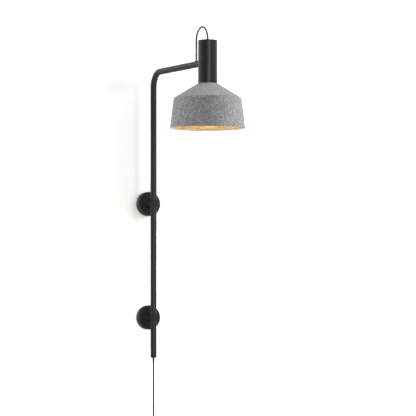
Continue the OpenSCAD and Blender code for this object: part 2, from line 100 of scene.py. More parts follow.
# Camera: level, to the left of the lamp's front, with a long lens and a shift for the framing
CAMERA_PLACE = (-3.156, -6.93, -0.271)
CAMERA_TURN = math.radians(26)
FOCAL_LENGTH = 199
LENS_SHIFT = 0.1875
camera_data = bpy.data.cameras.new("camera")
camera_data.sensor_width = 36
camera_data.lens = FOCAL_LENGTH
camera_data.shift_y = LENS_SHIFT
camera_data.clip_start, camera_data.clip_end = 0.1, 60
camera = bpy.data.objects.new("camera", camera_data)
scene.collection.objects.link(camera)
camera.location = CAMERA_PLACE
camera.rotation_euler = (math.pi / 2, 0, -CAMERA_TURN)
scene.camera = camera


# Cords

CORD_SIDES = 16
SPLINE_STEPS = 8
SHARP_ANGLE = math.radians(38)
# A direction that no tube starts along
OFF_AXIS = (0.31, 0.95, 0.05)


def b_spline(control, steps):
    """A uniform cubic B-spline that starts and ends on its control points and smooths the rest."""
    p = np.array(control, float)
    p = np.vstack([2 * p[0] - p[1], p, 2 * p[-1] - p[-2]])
    t = np.linspace(0, 1, steps, endpoint=False)[:, None]
    weights = ((1 - t) ** 3, 3 * t**3 - 6 * t**2 + 4, -3 * t**3 + 3 * t**2 + 3 * t + 1, t**3)
    spans = [
        sum(w * p[i + j] for j, w in enumerate(weights)) / 6 for i in range(len(p) - 3)
    ]
    end = (p[-3] + 4 * p[-2] + p[-1]) / 6
    return np.vstack([*spans, end])


def sweep(points, radii, sides):
    """Vertices and faces of a round tube along points, with flat ends and no twist."""
    ahead = np.gradient(points, axis=0)
    ahead /= np.linalg.norm(ahead, axis=1)[:, None]
    across = np.cross(ahead[0], OFF_AXIS)
    around = np.linspace(0, 2 * math.pi, sides, endpoint=False)[:, None]
    vertices = []
    for p, h, r in zip(points, ahead, radii):
        across = across - h * (across @ h)
        across /= np.linalg.norm(across)
        up = np.cross(h, across)
        vertices.append(p + r * (np.cos(around) * across + np.sin(around) * up))
    last = (len(points) - 1) * sides
    faces = [
        (i + k, i + (k + 1) % sides, i + sides + (k + 1) % sides, i + sides + k)
        for i in range(0, last, sides) for k in range(sides)
    ]
    faces += [tuple(range(sides))[::-1], tuple(range(last, last + sides))]
    return np.vstack(vertices), faces


def mesh_piece(name, vertices, faces, body, slot):
    """A smooth-shaded piece that rides on a body and takes its finish from a slot."""
    data = bpy.data.meshes.new(name)
    data.from_pydata([tuple(v) for v in vertices], [], faces)
    data.polygons.foreach_set("use_smooth", [True] * len(data.polygons))
    data.update()
    data.set_sharp_from_angle(angle=SHARP_ANGLE)
    piece = bpy.data.objects.new(name, data)
    scene.collection.objects.link(piece)
    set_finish(piece, slot)
    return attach(piece, body)


def cord_piece(name, points, diameter, body):
    """A round cord along points."""
    vertices, faces = sweep(points, [diameter / 2] * len(points), CORD_SIDES)
    return mesh_piece(name, vertices, faces, body, "cable_black")


CORD_D = 5.3 * MM
# The open stretches repeat the points of the CAD source, in its millimetres
LEAD_ROUTE = [
    (0, -50, -780), (0, -50, -786), (0.5, -47.5, -794), (1.5, -42.5, -802),
    (3.5, -37, -810), (6.5, -33, -819),
]
TAIL_ROUTE = [
    (-18, -64, -834), (-16.5, -66.5, -821.5), (-7, -69, -814), (3.5, -71.5, -814),
    (12, -74, -819.5), (16, -76.5, -829), (15, -78, -836), (14, -78, -842),
    (14, -78, -846),
]
# Inside the hank the points are taken from its middle: right, toward the wall, up
HANK_IN = [(8, 17, 38), (7.5, 13.5, 23)]
HANK_OUT = (-16.5, -14, 27)
# How far the cord goes on inside the plug, and the points of its straight upper stretch
PLUG_DEPTH = 9
STRAIGHT_POINTS = 8
# The folds: nominal radius, height of their centres, and how much wider the circle of their
# control points is
FOLD_R = 16.9
FOLD_Z = 33.6
FOLD_CONTROL = 3 / (1 + 2 * math.cos(math.radians(30)))
# The turns and their spacing in depth, and the part of a fold over which the depth changes
TURNS = 6
PITCH = 5.5
SHIFT_START, SHIFT_SHARE = 0.2, 0.6
# At the tie the strands draw together in two staggered columns on each side
WAIST_X = 2.7
WAIST_STAGGER = 4.7
WAIST_PITCH = 1.7
# How much nearer the middle their control points lie right at the tie
WAIST_PULL = 1.5
# Where they fan out again: height, extra width, and share of the way to their full depth
FAN_Z = 16
FAN_X = 3.0
FAN_STAGGER = 0.4
FAN_SHARE = 0.7
FAN_SHARE_OUTER = 0.8
# How far round its fold a strand goes on each side, in degrees, and how much less on odd turns
WRAP = 125
WRAP_STAGGER = 2


def hank_depth(k):
    """The depth of turn k, from the one nearest the wall to the one in front."""
    return PITCH * ((TURNS - 1) / 2 - k)


def hank_fold(end, d0, d1, a0, a1):
    """Control points round one end of the hank, on a circle, moving from depth d0 to d1."""
    r = FOLD_R * FOLD_CONTROL
    angles = np.radians([*np.linspace(-a0, 0, 5), *np.linspace(0, a1, 5)[1:]])
    points = []
    for i, a in enumerate(angles):
        t = min(max((i / (len(angles) - 1) - SHIFT_START) / SHIFT_SHARE, 0), 1)
        depth = d0 + (d1 - d0) * t
        points.append((end * r * math.sin(a), depth, end * (FOLD_Z + r * math.cos(a))))
    return points


def hank_turns():
    """The six folded turns, from where the lead comes in to where the tail leaves."""
    points = list(HANK_IN)
    for k in range(TURNS):
        odd = k % 2
        spread, next_spread = WRAP - WRAP_STAGGER * odd, WRAP - WRAP_STAGGER * (1 - odd)
        xw, dw = WAIST_X + WAIST_STAGGER * odd, WAIST_PITCH * ((TURNS - 1) / 2 - k)
        share = FAN_SHARE_OUTER if k in (0, TURNS - 1) else FAN_SHARE
        mx, md = xw + FAN_X + FAN_STAGGER * odd, dw + share * (hank_depth(k) - dw)
        cross = xw - WAIST_PULL
        if k > 0:
            points.append((mx, md, FAN_Z))
        points += [(cross, dw, 0), (mx, md, -FAN_Z)]
        points += hank_fold(-1, hank_depth(k), hank_depth(k), spread, spread)
        points += [(-mx, md, -FAN_Z), (-cross, dw, 0), (-mx, md, FAN_Z)]
        if k < TURNS - 1:
            points += hank_fold(1, hank_depth(k), hank_depth(k + 1), spread, next_spread)
    return points + [HANK_OUT]


def main_cord_route():
    """Straight down through the switch, into the hank, and out to the plug."""
    relief_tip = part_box("strain_relief")[0].z
    switch_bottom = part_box("switch_front")[0].z
    heights = np.linspace(relief_tip, switch_bottom, STRAIGHT_POINTS)
    straight = [(STEM_X, STEM_Y, z) for z in heights]
    hank_lo, hank_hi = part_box("cord_hank")
    middle = np.array((STEM_X, STEM_Y, (hank_lo.z + hank_hi.z) / 2))
    tail_x, tail_y, tail_z = TAIL_ROUTE[-1]
    return b_spline([
        *straight[:-1], *np.array(LEAD_ROUTE) * MM, *(middle + np.array(hank_turns()) * MM),
        *np.array(TAIL_ROUTE) * MM, np.array((tail_x, tail_y, tail_z - PLUG_DEPTH)) * MM,
    ], SPLINE_STEPS)


main_route = main_cord_route()
mains_cord = cord_piece("mains_cord", main_route, CORD_D, ARM_BODY)
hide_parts("supply_cord", "cord_lead", "cord_hank", "plug_tail")

# The cable loop over the head: up from the arm, half a circle, down into the head. Its end in
# the arm is higher than its end in the head by this much
LOOP_ROOT = 32 * MM
loop_lo, loop_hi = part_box("loop_cable")
loop_back = loop_hi.y - CORD_D / 2
LOOP_R = (loop_hi.y - loop_lo.y - CORD_D) / 2
LOOP_CENTRE_Z = loop_hi.z - CORD_D / 2 - LOOP_R


def loop_route():
    """The loop's centre line, from the arm to the head."""
    route = []
    for z in np.linspace(loop_lo.z + LOOP_ROOT, LOOP_CENTRE_Z, 9)[:-1]:
        route.append((STEM_X, loop_back, z))
    for a in np.linspace(0, math.pi, 33):
        y = loop_back - LOOP_R * (1 - math.cos(a))
        route.append((STEM_X, y, LOOP_CENTRE_Z + LOOP_R * math.sin(a)))
    for z in np.linspace(LOOP_CENTRE_Z, loop_lo.z, 12)[1:]:
        route.append((STEM_X, loop_back - 2 * LOOP_R, z))
    return np.array(route)


loop_points = loop_route()
loop_cord = cord_piece("loop_cord", loop_points, CORD_D, ARM_BODY)
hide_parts("loop_cable")


# Materials: short helpers that build node trees

def wired(tree, kind, values=None, **settings):
    """A node with its settings, whose inputs are numbers or other nodes' outputs."""
    made = tree.nodes.new(kind)
    for key, value in settings.items():
        setattr(made, key, value)
    for key, value in (values or {}).items():
        if isinstance(value, bpy.types.NodeSocket):
            tree.links.new(value, made.inputs[key])
        else:
            made.inputs[key].default_value = value
    return made


def mapped(tree, value, ends, onto):
    """Maps a value between two ends onto two others, held at both."""
    numbers = dict(zip(("From Min", "From Max", "To Min", "To Max"), (*ends, *onto)))
    return wired(tree, "ShaderNodeMapRange", {"Value": value, **numbers}).outputs["Result"]


class Finish:
    """A Principled material and the nodes that feed it."""

    def __init__(self, name, color, roughness, **sockets):
        self.material = bpy.data.materials.new(name)
        self.material.use_nodes = True
        self.tree = self.material.node_tree
        self.shader = self.tree.nodes["Principled BSDF"]
        self.set("Base Color", (*color, 1))
        self.set("Roughness", roughness)
        for socket, value in sockets.items():
            self.set(socket.replace("_", " "), value)
        self.coords = self.node("ShaderNodeTexCoord").outputs["Object"]

    def set(self, socket, value):
        self.shader.inputs[socket].default_value = value

    def feed(self, socket, output):
        self.tree.links.new(output, self.shader.inputs[socket])

    def node(self, kind, inputs=None, **settings):
        return wired(self.tree, kind, inputs, **settings)

    def stretched(self, scale, turn=(0, 0, 0)):
        """The object's coordinates, turned and scaled: a low scale draws a pattern out."""
        return self.node(
            "ShaderNodeMapping", {"Vector": self.coords, "Rotation": turn, "Scale": scale}
        ).outputs["Vector"]

    def noise(self, scale, detail=2, rough=0.5, vector=None, distort=0.0):
        """Noise with features about 1/scale metres across."""
        return self.node(
            "ShaderNodeTexNoise",
            {
                "Vector": vector or self.coords, "Scale": scale, "Detail": detail,
                "Roughness": rough, "Distortion": distort,
            },
        ).outputs["Fac"]

    def span(self, value, low, high, to_low, to_high):
        """Maps low..high onto to_low..to_high, held at both ends."""
        return mapped(self.tree, value, (low, high), (to_low, to_high))

    def vary(self, socket, wide, wide_ends, fine, fine_ends):
        """Feeds a socket with two noises, each mapped onto its own ends, and added."""
        slow = self.span(wide, 0.3, 0.7, *wide_ends)
        self.feed(socket, self.math("ADD", slow, self.span(fine, 0.3, 0.7, *fine_ends)))

    def math(self, operation, a, b):
        return self.node("ShaderNodeMath", {0: a, 1: b}, operation=operation).outputs[0]

    def vector(self, operation, a, b):
        return self.node("ShaderNodeVectorMath", {0: a, 1: b}, operation=operation)

    def colors(self, value, stops):
        """A colour ramp with stops of (position, colour)."""
        ramp = self.node("ShaderNodeValToRGB", {"Fac": value})
        elements = ramp.color_ramp.elements
        while len(elements) < len(stops):
            elements.new(0.5)
        for element, (place, color) in zip(elements, stops):
            element.position = place
            element.color = (*color, 1)
        return ramp.outputs["Color"]

    def bump(self, height, depth, strength=1.0, normal=None):
        """Relief of that depth in metres; several are stacked with normal."""
        inputs = {"Height": height, "Distance": depth, "Strength": strength}
        if normal:
            inputs["Normal"] = normal
        return self.node("ShaderNodeBump", inputs).outputs["Normal"]


def grey(value, tint=(1, 1, 1)):
    return tuple(value * t for t in tint)


def shades(low, high, tint=(1, 1, 1), start=0.3, end=0.7):
    """Two stops of a colour ramp between a dark and a light grey."""
    return [(start, grey(low, tint)), (end, grey(high, tint))]


def powder_coat():
    """Fine matt black powder coat: a leathery skin with patches of slightly other gloss."""
    f = Finish("black_metal_coat", grey(0.03), 0.45, Specular_IOR_Level=0.5)
    skin = f.noise(1100, 3, 0.6)
    patches = f.noise(9, 3, 0.6)
    dust = f.noise(60, 5, 0.7)
    f.feed("Base Color", f.colors(dust, shades(0.019, 0.029, (0.97, 1.0, 0.985))))
    f.vary("Roughness", patches, (0.30, 0.37), skin, (-0.04, 0.04))
    f.feed("Normal", f.bump(skin, 0.00012, 0.5))
    return f.material


def zinc():
    """Zinc-plated steel with a faint crystal bloom and drawn scratches."""
    f = Finish("zinc_steel_plated", grey(0.6), 0.35, Metallic=1.0)
    bloom = f.noise(150, 4, 0.6)
    scratches = f.noise(1, 3, 0.6, f.stretched((2500, 120, 2500), (0.3, 0.2, 0.6)))
    f.feed("Base Color", f.colors(bloom, shades(0.48, 0.68, (1, 1, 0.97))))
    f.vary("Roughness", bloom, (0.28, 0.42), scratches, (-0.05, 0.08))
    f.feed("Normal", f.bump(scratches, 0.00005, 0.5))
    return f.material


def bright_metal(name, low, high, tint, roughness):
    """A turned or stamped metal with fine machining lines."""
    f = Finish(name, grey(high, tint), roughness, Metallic=1.0)
    lines = f.noise(1, 2, 0.5, f.stretched((300, 300, 5200)))
    stain = f.noise(220, 4, 0.6)
    f.feed("Base Color", f.colors(stain, shades(low, high, tint)))
    f.vary("Roughness", stain, (roughness - 0.05, roughness + 0.06), lines, (-0.03, 0.05))
    f.feed("Normal", f.bump(lines, 0.00003, 0.5))
    return f.material


def moulded(name, low, high, roughness, grain, tint=(1, 1, 1)):
    """Moulded plastic with a spark-eroded grain, grain metres across."""
    f = Finish(name, grey(high, tint), roughness, Specular_IOR_Level=0.45)
    texture = f.noise(1 / grain, 2, 0.5)
    flow = f.noise(35, 3, 0.6, distort=0.6)
    f.feed("Base Color", f.colors(flow, shades(low, high, tint)))
    f.vary("Roughness", flow, (roughness - 0.05, roughness + 0.05), texture, (-0.04, 0.06))
    f.feed("Normal", f.bump(texture, grain * 0.25, 0.5))
    return f.material


def cable_sheath():
    """Soft black PVC sheath: nearly smooth, with a very fine grain and handling marks."""
    f = Finish("cable_black_pvc", grey(0.015), 0.42, Specular_IOR_Level=0.5)
    marks = f.noise(180, 4, 0.65)
    fine = f.noise(1500, 2, 0.5)
    f.feed("Base Color", f.colors(marks, shades(0.010, 0.019, (1, 1, 1.01))))
    f.feed("Roughness", f.span(marks, 0.3, 0.7, 0.36, 0.52))
    f.feed("Normal", f.bump(fine, 0.00008, 0.5))
    return f.material


# How much of the felt's tufted look the shade's inside keeps
INNER_CONTRAST = 0.5


def felt():
    """Pressed grey felt: light and dark fibres, tufts and a soft nap."""
    f = Finish(
        "grey_felt_pressed", grey(0.4), 0.95,
        Specular_IOR_Level=0.15, Sheen_Weight=0.25, Sheen_Roughness=0.6,
    )
    tufts = f.noise(330, 4, 0.7, distort=0.25)
    clouds = f.noise(45, 3, 0.55)
    fibres = None
    for turn in ((0.3, 0.9, 0.2), (1.2, 0.1, 1.9), (0.8, 2.2, 0.7), (2.1, 1.3, 2.8)):
        strand = f.noise(1, 2, 0.5, f.stretched((3600, 340, 3600), turn), 0.5)
        fibres = strand if fibres is None else f.math("MAXIMUM", fibres, strand)
    tuft_tone = f.span(tufts, 0.38, 0.62, 0.0, 0.66)
    tone = f.math("ADD", tuft_tone, f.span(fibres, 0.5, 0.8, 0.0, 0.3))
    tone = f.math("ADD", tone, f.span(clouds, 0.3, 0.7, 0.0, 0.08))
    # The shade's inside looks smoother than its outside
    from_axis = f.vector("SUBTRACT", f.coords, (HEAD_X, HEAD_Y, 0)).outputs[0]
    level = f.vector("MULTIPLY", from_axis, (1, 1, 0)).outputs[0]
    facing = f.node("ShaderNodeTexCoord").outputs["Normal"]
    outward = f.vector("DOT_PRODUCT", level, facing).outputs["Value"]
    contrast = f.span(outward, -0.01, 0.01, INNER_CONTRAST, 1.0)
    tone = f.math("ADD", f.math("MULTIPLY", f.math("SUBTRACT", tone, 0.5), contrast), 0.5)
    f.feed("Base Color", f.colors(tone, [(0.1, grey(0.15)), (0.5, grey(0.37)), (0.9, grey(0.7))]))
    nap = f.bump(fibres, 0.0006, 0.6)
    f.feed("Normal", f.bump(tufts, 0.0012, 0.6, nap))
    return f.material


def woven_strap():
    """Black nylon tape: an over-and-under weave of yarns half a millimetre wide, with painted shade
    between them.
    """
    f = Finish("strap_woven_nylon", grey(0.02), 0.8, Specular_IOR_Level=0.3, Sheen_Weight=0.15)
    yarn = {"Vector": f.coords, "Scale": 320, "Distortion": 0.6, "Detail": 1}
    level, steep = (
        f.node("ShaderNodeTexWave", yarn, bands_direction=way).outputs["Fac"] for way in "ZX"
    )
    weave = f.math("MULTIPLY", level, steep)
    # Painted shade: the colour is darker in the weave's hollows between the yarns, with some random
    # tone added
    weave_shade_and_tone = f.math("ADD", weave, f.span(f.noise(500), 0.3, 0.7, -0.1, 0.1))
    f.feed("Base Color", f.colors(weave_shade_and_tone, shades(0.008, 0.035, start=0.1, end=0.7)))
    f.feed("Normal", f.bump(weave, 0.0003, 0.7))
    return f.material


def opal_glass():
    """The lit opal bulb."""
    f = Finish(
        "opal_globe_lit", (0.92, 0.86, 0.76), 0.25,
        Emission_Color=(1, 0.54, 0.16, 1), Emission_Strength=35.0,
    )
    haze = f.noise(60, 3, 0.6)
    f.feed("Roughness", f.span(haze, 0.3, 0.7, 0.2, 0.32))
    f.feed("Normal", f.bump(f.noise(400, 2), 0.00003, 0.4))
    return f.material


FINISHES = {
    "black_metal": powder_coat(),
    "zinc_steel": zinc(),
    "dark_steel": bright_metal("dark_steel_blued", 0.06, 0.12, (1, 0.98, 0.97), 0.38),
    "pin_nickel": bright_metal("pin_nickel_plated", 0.6, 0.72, (1, 0.97, 0.92), 0.2),
    "brass": bright_metal("brass_pressed", 0.5, 0.78, (1, 0.74, 0.36), 0.28),
    "nylon": moulded("nylon_natural", 0.62, 0.72, 0.4, 0.0005, (1, 0.97, 0.9)),
    "black_plastic": moulded("black_plastic_grained", 0.014, 0.022, 0.45, 0.0006),
    "switch_rocker": moulded("switch_rocker_satin", 0.02, 0.028, 0.32, 0.0004),
    "white_plastic": moulded("white_plastic_satin", 0.72, 0.8, 0.35, 0.0006, (1, 0.99, 0.96)),
    "cable_black": cable_sheath(),
    "opal_globe": opal_glass(),
    "grey_felt": felt(),
    "strap": woven_strap(),
}
# Pieces whose finish isn't that of their slot
OWN_FINISH = {"tie_strap": "strap", "tie_lap": "strap"}


# Pieces built in mesh code

def filleted(corners, radii, step):
    """A closed outline with its corners rounded, in points no further apart than step."""
    corners = [np.array(c, float) for c in corners]
    outline = []
    for i, corner in enumerate(corners):
        before, after = corners[i - 1], corners[(i + 1) % len(corners)]
        u, v = before - corner, after - corner
        u, v = u / np.linalg.norm(u), v / np.linalg.norm(v)
        half = math.acos(np.clip(u @ v, -1, 1)) / 2
        back = radii[i] / math.tan(half)
        middle = (u + v) / np.linalg.norm(u + v)
        centre = corner + middle * radii[i] / math.sin(half)
        first, last = corner + u * back - centre, corner + v * back - centre
        turn = math.pi - 2 * half
        count = max(3, math.ceil(turn * radii[i] / step) + 2)
        for t in np.linspace(0, 1, count):
            mixed = (math.sin((1 - t) * turn) * first + math.sin(t * turn) * last) / math.sin(turn)
            outline.append(centre + mixed)
    dense = []
    for i, p in enumerate(outline):
        q = outline[(i + 1) % len(outline)]
        count = max(1, math.ceil(np.linalg.norm(q - p) / step))
        dense += [p + (q - p) * j / count for j in range(count)]
    return np.array(dense)


def turned(outline, axis, segments):
    """Vertices and faces of a closed outline of (radius, height) turned about an upright axis."""
    around = np.linspace(0, 2 * math.pi, segments, endpoint=False)
    n = len(outline)
    vertices = [
        (axis[0] + r * math.cos(a), axis[1] + r * math.sin(a), z)
        for a in around for r, z in outline
    ]
    faces = []
    for s in range(segments):
        here, there = s * n, (s + 1) % segments * n
        faces += [(here + i, there + i, there + (i + 1) % n, here + (i + 1) % n) for i in range(n)]
    return vertices, faces


# The felt shade: its thickness, the hole for the lamp holder and the mesh's fineness
FELT_T = 3 * MM
SHADE_HOLE_R = 20 * MM
SHADE_STEP = 2.4 * MM
SHADE_SEGMENTS = 280
# Its surface is a little uneven: depth and count per metre of slow waves and of small lumps,
# which fade out toward the neck over FADE
WAVE_DEPTH, WAVES = 0.35 * MM, 22
LUMP_DEPTH, LUMPS = 0.16 * MM, 140
FADE = 10 * MM
top_lo, top_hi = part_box("shade_top")
rim_lo, rim_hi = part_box("shade_side")
head_lo, head_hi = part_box("head_housing")
SHOULDER_R = (top_hi.x - top_lo.x) / 2
CONE_H = top_hi.z - rim_hi.z
HEAD_R = (head_hi.x - head_lo.x) / 2


def felt_shade():
    """One continuous shell: a cone from the head to the shoulder, then the flaring side."""
    top, rim = top_hi.z, rim_lo.z
    shoulder = top - CONE_H
    rim_r = (rim_hi.x - rim_lo.x) / 2
    rise = CONE_H / (SHOULDER_R - HEAD_R)
    lean = (rim_r - SHOULDER_R) / (shoulder - rim)
    drop = FELT_T * math.hypot(1, rise)
    side = FELT_T * math.hypot(1, lean)
    inner_corner = shoulder - (drop - rise * side) / (1 + rise * lean)
    inner_corner_r = SHOULDER_R + lean * (shoulder - inner_corner) - side
    neck = HEAD_R - FELT_T * math.tan(math.atan(rise) / 2)
    corners = [
        (SHADE_HOLE_R, top), (HEAD_R, top), (SHOULDER_R, shoulder), (rim_r, rim),
        (rim_r - side, rim), (inner_corner_r, inner_corner),
        (neck, top - FELT_T), (SHADE_HOLE_R, top - FELT_T),
    ]
    radii = [0.3 * MM, 0.8 * MM, 1.4 * MM, 0.9 * MM, 0.9 * MM, 2 * MM, 2 * MM, 0.3 * MM]
    outline = filleted(corners, radii, SHADE_STEP)
    vertices, faces = turned(outline, (HEAD_X, HEAD_Y), SHADE_SEGMENTS)
    piece = mesh_piece("felt_shade", vertices, faces, ARM_BODY, "grey_felt")
    mesh = piece.data
    co, normals = np.empty((2, len(mesh.vertices), 3))
    mesh.vertices.foreach_get("co", co.ravel())
    mesh.vertices.foreach_get("normal", normals.ravel())
    height = np.array([
        WAVE_DEPTH * noise.noise(Vector(p) * WAVES) + LUMP_DEPTH * noise.noise(Vector(p) * LUMPS)
        for p in co
    ])
    beyond = np.maximum(np.hypot(co[:, 0] - HEAD_X, co[:, 1] - HEAD_Y) - HEAD_R, 0)
    height *= 1 - np.exp(-beyond / FADE)
    mesh.vertices.foreach_set("co", (co + normals * height[:, None]).ravel())
    mesh.update()
    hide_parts("shade_top", "shade_side")
    return piece


felt_shade()


def lofted(rings, closed=False):
    """Vertices and faces through rings of equally many points; closed joins the last to the first."""
    n = len(rings[0])
    faces = []
    for i in range(len(rings) if closed else len(rings) - 1):
        here, there = i * n, (i + 1) % len(rings) * n
        faces += [(here + k, here + (k + 1) % n, there + (k + 1) % n, there + k) for k in range(n)]
    if not closed:
        last = (len(rings) - 1) * n
        faces += [tuple(range(n))[::-1], tuple(range(last, last + n))]
    return [tuple(p) for ring in rings for p in ring], faces


def upright_ring(middle, w, h, r, y, corner=8):
    """A round-cornered rectangle in the X-Z plane at y, about a middle (x, z)."""
    ring = []
    for quarter, (sx, sz) in enumerate(((1, 1), (-1, 1), (-1, -1), (1, -1))):
        for a in np.radians(np.linspace(90 * quarter, 90 * quarter + 90, corner)):
            ring.append((
                middle[0] + sx * (w / 2 - r) + r * math.cos(a), y,
                middle[1] + sz * (h / 2 - r) + r * math.sin(a),
            ))
    return ring


# The inline switch: two pillowed shells that meet at a fine groove, open round the rocker
SWITCH_CORNER = 8 * MM
SWITCH_WALL = 1.8 * MM
SWITCH_EDGE = 3.2 * MM
# The groove's depth, and where its bottom and its outer edge lie from the seam
GROOVE = 0.4 * MM
GROOVE_FLAT, GROOVE_EDGE = 0.3 * MM, 0.7 * MM
# The room round the rocker, and a raised bezel round that hole and down through the wall: how
# much wider than the hole each ring is, its corner radius, and how deep it lies, in millimetres
ROCKER_ROOM = (0.6 * MM, 1 * MM)
BEZEL = (
    (5.4, 3.2, 0), (4.8, 3, 0.5), (3.6, 2.4, 0.5), (3, 2.1, 0.1),
    (1, 1.2, 0.1), (0, 0.8, 0.6), (0, 0.8, 1.8),
)
# The small ring in the middle that closes the plain back
HUB, HUB_CORNER = 4 * MM, 1.5 * MM


def inner_ring(middle, w, h, y):
    """The outline of a shell's inside at y."""
    corner = SWITCH_CORNER - SWITCH_WALL
    return upright_ring(middle, w - 2 * SWITCH_WALL, h - 2 * SWITCH_WALL, corner, y)


def shell_side(middle, w, h, seam, out, deep):
    """Rings from the shell's inner wall at the seam, over the groove, to its rounded face."""
    groove = (middle, w - 2 * GROOVE, h - 2 * GROOVE, SWITCH_CORNER - GROOVE)
    rings = [
        inner_ring(middle, w, h, seam),
        upright_ring(*groove, seam),
        upright_ring(*groove, seam + out * GROOVE_FLAT),
        upright_ring(middle, w, h, SWITCH_CORNER, seam + out * GROOVE_EDGE),
    ]
    for a in np.radians(np.linspace(0, 90, 8)):
        inset = SWITCH_EDGE * (1 - math.cos(a))
        y = seam + out * (deep - SWITCH_EDGE + SWITCH_EDGE * math.sin(a))
        rings.append(upright_ring(middle, w - 2 * inset, h - 2 * inset, SWITCH_CORNER - inset, y))
    return rings


def switch_shells():
    """The front shell, open round the rocker, and the plain back shell."""
    lo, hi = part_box("switch_front")
    rocker_lo, rocker_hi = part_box("rocker")
    middle = ((lo.x + hi.x) / 2, (lo.z + hi.z) / 2)
    w, h = hi.x - lo.x, hi.z - lo.z
    seam, face, back = hi.y, lo.y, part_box("switch_back")[1].y
    hole_w = rocker_hi.x - rocker_lo.x + ROCKER_ROOM[0]
    hole_h = rocker_hi.z - rocker_lo.z + ROCKER_ROOM[1]
    rings = shell_side(middle, w, h, seam, -1, seam - face)
    for grow, corner, sink in BEZEL:
        size = (hole_w + grow * MM, hole_h + grow * MM, corner * MM)
        rings.append(upright_ring(middle, *size, face + sink * MM))
    rings.append(inner_ring(middle, w, h, face + SWITCH_WALL))
    closed_loft = lofted(rings, closed=True)
    front = mesh_piece("switch_shell_front", *closed_loft, ARM_BODY, "black_plastic")
    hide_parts("switch_front")
    rings = [
        upright_ring(middle, HUB, HUB, HUB_CORNER, back),
        *shell_side(middle, w, h, seam, 1, back - seam)[::-1],
        inner_ring(middle, w, h, back - SWITCH_WALL),
        upright_ring(middle, HUB, HUB, HUB_CORNER, back - SWITCH_WALL),
    ]
    rear = mesh_piece("switch_shell_back", *lofted(rings), ARM_BODY, "black_plastic")
    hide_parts("switch_back")
    return front, rear


def oval_ring(x, y, z, half_w, half_t, power, count=56):
    """A level superellipse: power 2 is an ellipse, more is squarer."""
    ring = []
    for a in np.linspace(0, 2 * math.pi, count, endpoint=False):
        c, s = math.cos(a), math.sin(a)
        ring.append((
            x + half_w * math.copysign(abs(c) ** (2 / power), c),
            y + half_t * math.copysign(abs(s) ** (2 / power), s), z,
        ))
    return ring


# The plug: a flat moulded body with finger ridges, under a ribbed, tapered neck
PLUG_NECK = 20 * MM
PLUG_NECK_R = 3.5 * MM
PLUG_ROOT_R = 5.6 * MM
NECK_RIBS, NECK_RIB_DEPTH = 6, 0.6 * MM
GRIP_RIDGES, GRIP_DEPTH = 12, 0.5 * MM
# Shares of the body's height, from the pin face up: the rounded foot, the widening, where the
# finger ridges are, and where it begins to draw in toward the neck
FOOT_SHARE, WIDEN_SHARE = 0.06, 0.18
GRIP_FROM, GRIP_TO = 0.25, 0.5
DRAW_IN = 0.5
# How much the foot's edge is drawn in, and the pin face's width, as shares of the full width
FOOT_INSET, FACE_WIDTH = 0.12, 0.78
# How square the body is, where ROUND is an ellipse, and how much its neck ribs fade upward
SQUARE, ROUND = 4.5, 2
NECK_RIB_FADE = 0.3


def ribbed(t, ribs, depth):
    """How far a rib's groove is cut in at a share t of the length."""
    return depth * (0.5 - 0.5 * math.cos(2 * math.pi * ribs * t)) ** 2


def plug():
    """The plug's body and neck, from the pin face up to where the cord goes in."""
    lo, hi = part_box("plug_body")
    x, y = (lo.x + hi.x) / 2, (lo.y + hi.y) / 2
    w, t = (hi.x - lo.x) / 2, (hi.y - lo.y) / 2
    shoulder = hi.z - PLUG_NECK
    deep = shoulder - lo.z
    rings = []
    for s in np.linspace(0, 1, 45):
        across = w * (FACE_WIDTH + (1 - FACE_WIDTH) * min(s / WIDEN_SHARE, 1))
        taper = max((s - DRAW_IN) / (1 - DRAW_IN), 0)
        ease = taper * taper * (3 - 2 * taper)
        half_w = across + (PLUG_ROOT_R - across) * ease
        half_t = t + (PLUG_ROOT_R - t) * ease
        foot = 1 - FOOT_INSET * (1 - min(s / FOOT_SHARE, 1)) ** 2
        grip = 0
        if GRIP_FROM < s < GRIP_TO:
            grip = GRIP_DEPTH * math.sin(math.pi * GRIP_RIDGES * (s - GRIP_FROM)) ** 2
        size = ((half_w - grip) * foot, half_t * foot)
        rings.append(oval_ring(x, y, lo.z + deep * s, *size, SQUARE + (ROUND - SQUARE) * ease))
    for s in np.linspace(0, 1, 50)[1:]:
        r = PLUG_ROOT_R + (PLUG_NECK_R - PLUG_ROOT_R) * s
        r -= ribbed(s, NECK_RIBS, NECK_RIB_DEPTH) * (1 - s * NECK_RIB_FADE)
        rings.append(oval_ring(x, y, shoulder + PLUG_NECK * s, r, r, ROUND))
    piece = mesh_piece("plug_moulded", *lofted(rings), ARM_BODY, "black_plastic")
    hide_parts("plug_body")
    return piece


# The strain relief: a ribbed, tapering sleeve whose plain upper end sits in the stem
RELIEF_OUT = 22 * MM
RELIEF_TIP_R, RELIEF_ROOT_R = 3 * MM, 3.75 * MM
RELIEF_RIBS, RELIEF_RIB_DEPTH = 6, 0.4 * MM
# The room round the cord, and the least wall
RELIEF_ROOM, RELIEF_WALL = 0.05 * MM, 0.12 * MM


def relief():
    """The sleeve round the cord, turned about the stem's axis."""
    lo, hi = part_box("strain_relief")
    inside, stem_end = CORD_D / 2 + RELIEF_ROOM, lo.z + RELIEF_OUT
    outline = [(inside, hi.z), (inside, lo.z)]
    for s in np.linspace(0, 1, 60):
        r = RELIEF_TIP_R + (RELIEF_ROOT_R - RELIEF_TIP_R) * s
        r -= ribbed(s, RELIEF_RIBS, RELIEF_RIB_DEPTH) * min(RELIEF_RIBS * s, 1)
        outline.append((max(r, inside + RELIEF_WALL), lo.z + RELIEF_OUT * s))
    outline += [((hi.x - lo.x) / 2, stem_end), ((hi.x - lo.x) / 2, hi.z)]
    vertices, faces = turned(outline, (STEM_X, STEM_Y), 40)
    piece = mesh_piece("relief_sleeve", vertices, faces, ARM_BODY, "cable_black")
    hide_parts("strain_relief")


